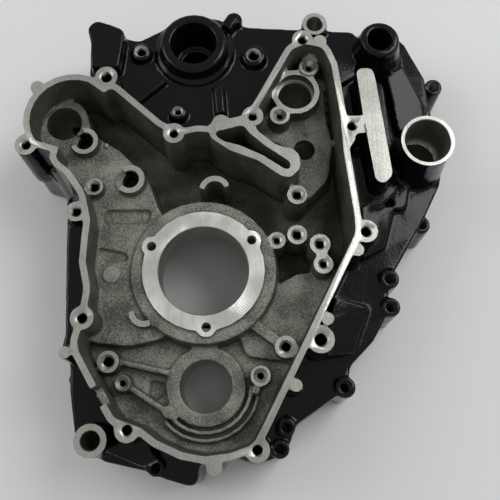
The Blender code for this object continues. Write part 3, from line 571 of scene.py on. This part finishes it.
# Heights and patches of the painted shade on the deepest floor
SHADE_TOP, SHADE_FLOOR = 0.047, 0.036
LEAST_SHADE, PATCH_SHADE = 0.58, 0.35
SHADE_PATCH_SCALE = 26.0
SHADE_PATCH_START, SHADE_PATCH_FULL = 0.38, 0.58
CAST_ROUGHNESS, MOTTLE_GLOSS = 0.7, -0.2
SAND_BUMP = 0.0008
FINE_SHARE, BROAD_SHARE = 0.55, 0.45
BROAD_SCALE = 60.0
WEAR_SCALE = 160.0
WEAR_START, WEAR_FULL = 0.35, 0.6
GREEN_MARKER = (0.01, 0.13, 0.07)
DAB_PLACES = ((0.0481, 0.0773, 0.0540), (-0.1401, 0.1055, 0.0860))
DAB_RADIUS = 0.0016
DAB_RAGGED_SCALE = 420.0
DAB_OUTSIDE, DAB_INSIDE = 1.65, 1.35


def add(tree, kind, inputs=None, **settings):
    """A shader node of this kind. Each of its inputs is given as a value, or as the output that feeds it."""
    made = tree.nodes.new("ShaderNode" + kind)
    for name, value in settings.items():
        setattr(made, name, value)
    for name, value in (inputs or {}).items():
        if isinstance(value, bpy.types.NodeSocket):
            tree.links.new(value, made.inputs[name])
        else:
            made.inputs[name].default_value = value
    return made


def arithmetic(tree, operation, first, second=0.0):
    return add(tree, "Math", {0: first, 1: second}, operation=operation).outputs[0]


def vector(tree, operation, first, second, result="Vector"):
    return add(tree, "VectorMath", {0: first, 1: second}, operation=operation).outputs[result]


def ramp(tree, value, start, full):
    """0 at the start value and 1 at the full one, with a smooth step between."""
    between = {"Value": value, "From Min": start, "From Max": full}
    return add(tree, "MapRange", between, interpolation_type="SMOOTHSTEP").outputs[0]


def noise(tree, place, scale, detail=2.0):
    return add(tree, "TexNoise", {"Vector": place, "Scale": scale, "Detail": detail}).outputs[0]


def mixed(tree, factor, first, second):
    """The first colour, and the second one where the factor is 1."""
    made = add(tree, "Mix", {0: factor}, data_type="RGBA")
    for socket, colour in ((made.inputs[6], first), (made.inputs[7], second)):
        if isinstance(colour, bpy.types.NodeSocket):
            tree.links.new(colour, socket)
        else:
            socket.default_value = (*colour, 1.0)
    return made.outputs[2]


def shader_group(name, inputs, outputs):
    """A new node group with float inputs, as name and value, and float outputs."""
    tree = bpy.data.node_groups.new(name, "ShaderNodeTree")
    for socket, value in inputs:
        made = tree.interface.new_socket(socket, in_out="INPUT", socket_type="NodeSocketFloat")
        made.default_value = value
    for socket in outputs:
        tree.interface.new_socket(socket, in_out="OUTPUT", socket_type="NodeSocketFloat")
    return tree, tree.nodes.new("NodeGroupInput").outputs, tree.nodes.new("NodeGroupOutput").inputs


def placed(tree, group, **inputs):
    """The outputs of a node group in this tree, with its inputs by name, underscores for spaces."""
    made = tree.nodes.new("ShaderNodeGroup")
    made.node_tree = group
    for name, value in inputs.items():
        made.inputs[name.replace("_", " ")].default_value = value
    return made.outputs


def finish_tree(name):
    """The node tree of one of the casting's finishes, and its shader."""
    material = bpy.data.materials[name]
    material.use_nodes = True
    return material.node_tree, material.node_tree.nodes["Principled BSDF"]


def surface(tree, shader, colour, roughness, height, bump_distance):
    """Feeds the shader its colour, its roughness, and a bump of this height."""
    bump = add(tree, "Bump", {"Strength": 1.0, "Distance": bump_distance, "Height": height})
    tree.links.new(colour, shader.inputs["Base Color"])
    tree.links.new(roughness, shader.inputs["Roughness"])
    tree.links.new(bump.outputs["Normal"], shader.inputs["Normal"])


# Sand grains over wider lumps as a height, and a mottle of the same grains over broad patches
tree, given, result = shader_group(
    "cast_grain", (("Grain Size", 0.001), ("Lump Size", 0.005), ("Lump Share", 0.5)), ("Height", "Mottle")
)
cast_grain = tree
at = add(tree, "TexCoord").outputs["Object"]
sand = noise(tree, at, arithmetic(tree, "DIVIDE", 1.0, given["Grain Size"]))
lumps = noise(tree, at, arithmetic(tree, "DIVIDE", 1.0, given["Lump Size"]))
lump_height = arithmetic(tree, "MULTIPLY", lumps, given["Lump Share"])
tree.links.new(arithmetic(tree, "ADD", sand, lump_height), result["Height"])
fine_mottle = arithmetic(tree, "MULTIPLY", sand, FINE_SHARE)
broad_mottle = arithmetic(tree, "MULTIPLY", noise(tree, at, BROAD_SCALE, 3.0), BROAD_SHARE)
tree.links.new(arithmetic(tree, "ADD", fine_mottle, broad_mottle), result["Mottle"])

# Masks of the edges that stand out and of the corners that lie in, from the attribute named relief
tree, given, result = shader_group(
    "edge_and_hollow_masks",
    (("Edge Start", 0.1), ("Edge Full", 0.4), ("Hollow Start", 0.1), ("Hollow Full", 0.4)),
    ("Edges", "Hollows"),
)
edge_and_hollow_masks = tree
rise = add(tree, "Attribute", attribute_name="relief").outputs["Fac"]
worn_places = noise(tree, add(tree, "TexCoord").outputs["Object"], WEAR_SCALE, 4.0)
broken = ramp(tree, worn_places, WEAR_START, WEAR_FULL)
edges = arithmetic(tree, "MULTIPLY", ramp(tree, rise, given["Edge Start"], given["Edge Full"]), broken)
tree.links.new(edges, result["Edges"])
fall = arithmetic(tree, "MULTIPLY", rise, -1.0)
tree.links.new(ramp(tree, fall, given["Hollow Start"], given["Hollow Full"]), result["Hollows"])

# The dabs of green marker that an inspector left, with ragged outlines
tree, given, result = shader_group("inspection_dab", (("Radius", DAB_RADIUS),), ("Dab",))
inspection_dab = tree
at = add(tree, "TexCoord").outputs["Object"]
nearest_dab = 1.0
for place in DAB_PLACES:
    nearest_dab = arithmetic(tree, "MINIMUM", vector(tree, "DISTANCE", at, place, "Value"), nearest_dab)
share = arithmetic(tree, "DIVIDE", nearest_dab, given["Radius"])
ragged = arithmetic(tree, "ADD", share, noise(tree, at, DAB_RAGGED_SCALE))
tree.links.new(ramp(tree, ragged, DAB_OUTSIDE, DAB_INSIDE), result["Dab"])

tree, shader = finish_tree("rough_cast_aluminium")
grain = placed(tree, cast_grain, Grain_Size=0.0011, Lump_Size=0.005, Lump_Share=0.7)
relief_masks = placed(tree, edge_and_hollow_masks, Edge_Start=0.15, Edge_Full=0.7, Hollow_Start=0.15, Hollow_Full=0.9)
metal = mixed(tree, ramp(tree, grain["Mottle"], MOTTLE_START, MOTTLE_FULL), SAND_SHADE, SAND_LIGHT)
metal = mixed(tree, arithmetic(tree, "MULTIPLY", relief_masks["Edges"], EDGE_SHARE), metal, RUBBED_EDGE)
# Painted shade: the corners of the bare metal are darkened.
metal = mixed(tree, arithmetic(tree, "MULTIPLY", relief_masks["Hollows"], CORNER_SHARE), metal, CORNER_SHADE)
coordinates = add(tree, "TexCoord").outputs
height_up = add(tree, "SeparateXYZ", {"Vector": coordinates["Object"]}).outputs["Z"]
facing_up = add(tree, "SeparateXYZ", {"Vector": coordinates["Normal"]}).outputs["Z"]
# Painted shade: the walls, which face sideways, are darkened towards the deep colour.
on_walls = arithmetic(tree, "MULTIPLY", ramp(tree, facing_up, WALL_START, WALL_FULL), WALL_SHADE_SHARE)
# Painted shade: the lowest floor is darkened nearly black, broken into patches.
shade_patches = ramp(tree, noise(tree, coordinates["Object"], SHADE_PATCH_SCALE, 3.0), SHADE_PATCH_START, SHADE_PATCH_FULL)
shade_patches = arithmetic(tree, "ADD", arithmetic(tree, "MULTIPLY", shade_patches, PATCH_SHADE), LEAST_SHADE)
at_depth = arithmetic(tree, "MULTIPLY", ramp(tree, height_up, SHADE_TOP, SHADE_FLOOR), shade_patches)
metal = mixed(tree, arithmetic(tree, "MAXIMUM", on_walls, at_depth), metal, DEEP_SHADE)
metal = mixed(tree, placed(tree, inspection_dab)["Dab"], metal, GREEN_MARKER)
dull = arithmetic(tree, "ADD", arithmetic(tree, "MULTIPLY", grain["Mottle"], MOTTLE_GLOSS), CAST_ROUGHNESS)
surface(tree, shader, metal, dull, grain["Height"], SAND_BUMP)
shader.inputs["Metallic"].default_value = 0.35


# The black paint. It is sprayed over the cast skin outside the rail and baked glossy, so the sand's grain
# shows only faintly through it. Dust lies in its corners, and its edges are rubbed a little and lightened with
# a painted highlight.
# The rubbed colour of the edges is partly wear and partly a painted highlight.
FRESH_PAINT, RUBBED_PAINT_AND_SHEEN = (0.0035, 0.0038, 0.0047), (0.022, 0.022, 0.024)
DUSTY_PAINT = (0.016, 0.015, 0.013)
DUST_SHARE = 0.6
WORN_DULLNESS, MOTTLE_DULLNESS = 0.15, 0.3
PAINTED_BUMP = 0.00011
tree, shader = finish_tree("black_gloss_paint")
grain = placed(tree, cast_grain, Grain_Size=0.0016, Lump_Size=0.008, Lump_Share=1.6)
relief_masks = placed(tree, edge_and_hollow_masks, Edge_Start=0.3, Edge_Full=1.0, Hollow_Start=0.2, Hollow_Full=1.0)
# Partly wear, partly a painted highlight: the standing edges are lightened.
paint = mixed(tree, relief_masks["Edges"], FRESH_PAINT, RUBBED_PAINT_AND_SHEEN)
paint = mixed(tree, arithmetic(tree, "MULTIPLY", relief_masks["Hollows"], DUST_SHARE), paint, DUSTY_PAINT)
paint = mixed(tree, placed(tree, inspection_dab)["Dab"], paint, GREEN_MARKER)
worn_or_dusty = arithmetic(tree, "ADD", relief_masks["Hollows"], relief_masks["Edges"])
dull = arithmetic(tree, "MULTIPLY", worn_or_dusty, WORN_DULLNESS)
dull = arithmetic(tree, "ADD", dull, arithmetic(tree, "MULTIPLY", grain["Mottle"], MOTTLE_DULLNESS))
surface(tree, shader, paint, dull, grain["Height"], PAINTED_BUMP)
shader.inputs["Specular IOR Level"].default_value = 0.19
shader.inputs["Coat Weight"].default_value = 0.12
shader.inputs["Coat Roughness"].default_value = 0.06


# The milled metal. An end mill was led round the main ring and left arcs across it, and the bosses were
# faced with a cutter that left fine rings. Thin stains break the shine, and painted shade darkens the drilled
# holes with their depth.
WORN_SHINE, CLEAN_SHINE, FRESH_CUT = (0.40, 0.40, 0.365), (0.55, 0.55, 0.51), (0.90, 0.90, 0.86)
# Painted shade deep in the drilled holes
HOLE_SHADE = (0.012, 0.012, 0.010)
MAIN_AXIS = (-0.0256, -0.0296, 0.0)
MAIN_RING_FACE = 0.066
RING_MIDDLE, RING_OUTSIDE = 0.037, 0.0475
CUTTER_RADIUS = 0.0085
FEED_MARKS = 150
UNEVEN_SCALE = 45.0
UNEVEN_START, UNEVEN_FULL = 0.35, 0.65
DEEPEST_MARKS = (0.0125, -0.0500, 0.066)
DEEPEST_REACH, DEEPEST_CORE = 0.03, 0.008
FEED_DEPTH, DEEPEST_DEPTH = 0.16, 0.2
BOSS_MARK_PITCH = 0.0011
BOSS_MARK_REACH = 0.0085
BOSS_MARK_FADE = 0.0005
BOSS_MARK_DEPTH = 0.1
LINE_STRETCH = (1.0, 0.06, 1.0)
LINE_SCALE = 900.0
LINE_DEPTH = 0.3
STAIN_START, STAIN_FULL = 0.40, 0.60
EVEN_FRESH, UNEVEN_FRESH = 0.4, 0.6
HOLE_SHADE_START, HOLE_SHADE_FULL = 1.0, 6.0
MILLED_ROUGHNESS, LINE_DULLNESS, CLEAN_GLOSS = 0.31, 0.2, -0.06
MILLED_BUMP = 0.0002
tree, shader = finish_tree("milled_aluminium")
grain = placed(tree, cast_grain, Grain_Size=0.0009, Lump_Size=0.012, Lump_Share=1.0)
at = add(tree, "TexCoord").outputs["Object"]
flat = vector(tree, "MULTIPLY", at, (1, 1, 0))

# Marks round the main ring: the phase is the angle round it, and lags by the round front of the cutter
from_axis = vector(tree, "SUBTRACT", flat, MAIN_AXIS)
plan = add(tree, "SeparateXYZ", {"Vector": from_axis}).outputs
radius = vector(tree, "DISTANCE", flat, MAIN_AXIS, "Value")
off_middle = arithmetic(tree, "SUBTRACT", radius, RING_MIDDLE)
front = arithmetic(tree, "SUBTRACT", CUTTER_RADIUS**2, arithmetic(tree, "MULTIPLY", off_middle, off_middle))
front = arithmetic(tree, "MULTIPLY", arithmetic(tree, "SQRT", front), FEED_MARKS / RING_MIDDLE)
turn = arithmetic(tree, "MULTIPLY", arithmetic(tree, "ARCTAN2", plan["Y"], plan["X"]), FEED_MARKS)
feed_marks = arithmetic(tree, "SINE", arithmetic(tree, "ADD", turn, front))
height_up = add(tree, "SeparateXYZ", {"Vector": at}).outputs["Z"]
above_step = ramp(tree, height_up, MAIN_RING_FACE - 4e-4, MAIN_RING_FACE - 1e-4)
on_ring = arithmetic(tree, "MULTIPLY", arithmetic(tree, "LESS_THAN", radius, RING_OUTSIDE), above_step)
from_deepest = vector(tree, "DISTANCE", at, DEEPEST_MARKS, "Value")
deepest = ramp(tree, from_deepest, DEEPEST_REACH, DEEPEST_CORE)
uneven = ramp(tree, noise(tree, at, UNEVEN_SCALE), UNEVEN_START, UNEVEN_FULL)
depth = arithmetic(tree, "MULTIPLY", uneven, FEED_DEPTH)
depth = arithmetic(tree, "ADD", arithmetic(tree, "MULTIPLY", deepest, DEEPEST_DEPTH), depth)
feed_marks = arithmetic(tree, "MULTIPLY", feed_marks, arithmetic(tree, "MULTIPLY", depth, on_ring))

# Rings round the hole of each boss that stands away from the rail
nearest_hole = 1.0
for x, y, _, _, top in filter(drilled, holes):
    if min(abs(top - GASKET_FACE), abs(top - MAIN_RING_FACE)) > LEVEL_TOLERANCE:
        from_hole = vector(tree, "DISTANCE", flat, (x, y, 0), "Value")
        nearest_hole = arithmetic(tree, "MINIMUM", from_hole, nearest_hole)
ring_phase = arithmetic(tree, "MULTIPLY", nearest_hole, 2 * np.pi / BOSS_MARK_PITCH)
boss_marks = arithmetic(tree, "SINE", ring_phase)
on_boss = ramp(tree, nearest_hole, BOSS_MARK_REACH, BOSS_MARK_REACH - BOSS_MARK_FADE)
boss_marks = arithmetic(tree, "MULTIPLY", boss_marks, arithmetic(tree, "MULTIPLY", on_boss, BOSS_MARK_DEPTH))

lines = noise(tree, vector(tree, "MULTIPLY", at, LINE_STRETCH), LINE_SCALE)
cutter_marks = arithmetic(tree, "ADD", feed_marks, boss_marks)
marks = arithmetic(tree, "ADD", arithmetic(tree, "MULTIPLY", lines, LINE_DEPTH), cutter_marks)
stain = ramp(tree, grain["Mottle"], STAIN_START, STAIN_FULL)
shine = mixed(tree, stain, WORN_SHINE, CLEAN_SHINE)
fresh = arithmetic(tree, "ADD", arithmetic(tree, "MULTIPLY", uneven, UNEVEN_FRESH), EVEN_FRESH)
shine = mixed(tree, arithmetic(tree, "MULTIPLY", on_ring, fresh), shine, FRESH_CUT)
hole_depth = add(tree, "Attribute", attribute_name="hole_depth").outputs["Fac"]
# Painted shade: the drilled holes grow darker with their depth.
shine = mixed(tree, ramp(tree, hole_depth, HOLE_SHADE_START, HOLE_SHADE_FULL), shine, HOLE_SHADE)
stain_gloss = arithmetic(tree, "MULTIPLY", stain, CLEAN_GLOSS)
dull = arithmetic(tree, "ADD", arithmetic(tree, "MULTIPLY", lines, LINE_DULLNESS), stain_gloss)
surface(tree, shader, shine, arithmetic(tree, "ADD", dull, MILLED_ROUGHNESS), marks, MILLED_BUMP)
shader.inputs["Metallic"].default_value = 1.0


# The studio: a plain pale floor, two soft square lamps and an even sky. The camera looks down at the casting
# from a little in front of it, as the photograph's did.
FLOOR_REACH = 3.0
floor_corners = np.array([(-1, -1, 0), (1, -1, 0), (1, 1, 0), (-1, 1, 0)], float) * FLOOR_REACH
floor = mesh_object("floor", floor_corners, np.array([(0, 1, 2, 3)]))
floor_material = bpy.data.materials.new("pale_floor")
floor_material.use_nodes = True
floor_shader = floor_material.node_tree.nodes["Principled BSDF"]
floor_shader.inputs["Base Color"].default_value = (0.8, 0.8, 0.8, 1)
floor_shader.inputs["Roughness"].default_value = 0.9
floor.data.materials.append(floor_material)

world = bpy.data.worlds.new("soft_sky")
world.use_nodes = True
world.node_tree.nodes["Background"].inputs["Color"].default_value = (1, 1, 1, 1)
world.node_tree.nodes["Background"].inputs["Strength"].default_value = 0.4
bpy.context.scene.world = world


def soft_lamp(name, place, target, size, power):
    """A square area lamp at place, turned to face the target."""
    data = bpy.data.lights.new(name, "AREA")
    data.size = size
    data.energy = power
    lamp = bpy.data.objects.new(name, data)
    lamp.location = place
    lamp.rotation_euler = (Vector(target) - Vector(place)).to_track_quat("-Z", "Y").to_euler()
    bpy.context.scene.collection.objects.link(lamp)


soft_lamp("key_lamp", (0.9, 0.5, 1.3), (0, 0, 0.05), 0.9, 11)
soft_lamp("fill_lamp", (-1.2, 0.3, 1.0), (0, 0, 0.05), 0.9, 6)

LENS = 50.4
CAMERA_PLACE = (0.0068, -0.1420, 0.5390)
CAMERA_TILT = 15
camera_data = bpy.data.cameras.new("camera")
camera_data.sensor_width = 36
camera_data.lens = LENS
camera = bpy.data.objects.new("camera", camera_data)
camera.location = CAMERA_PLACE
camera.rotation_euler = (radians(CAMERA_TILT), 0, 0)
bpy.context.scene.collection.objects.link(camera)
bpy.context.scene.camera = camera
bpy.context.scene.view_settings.view_transform = "Standard"
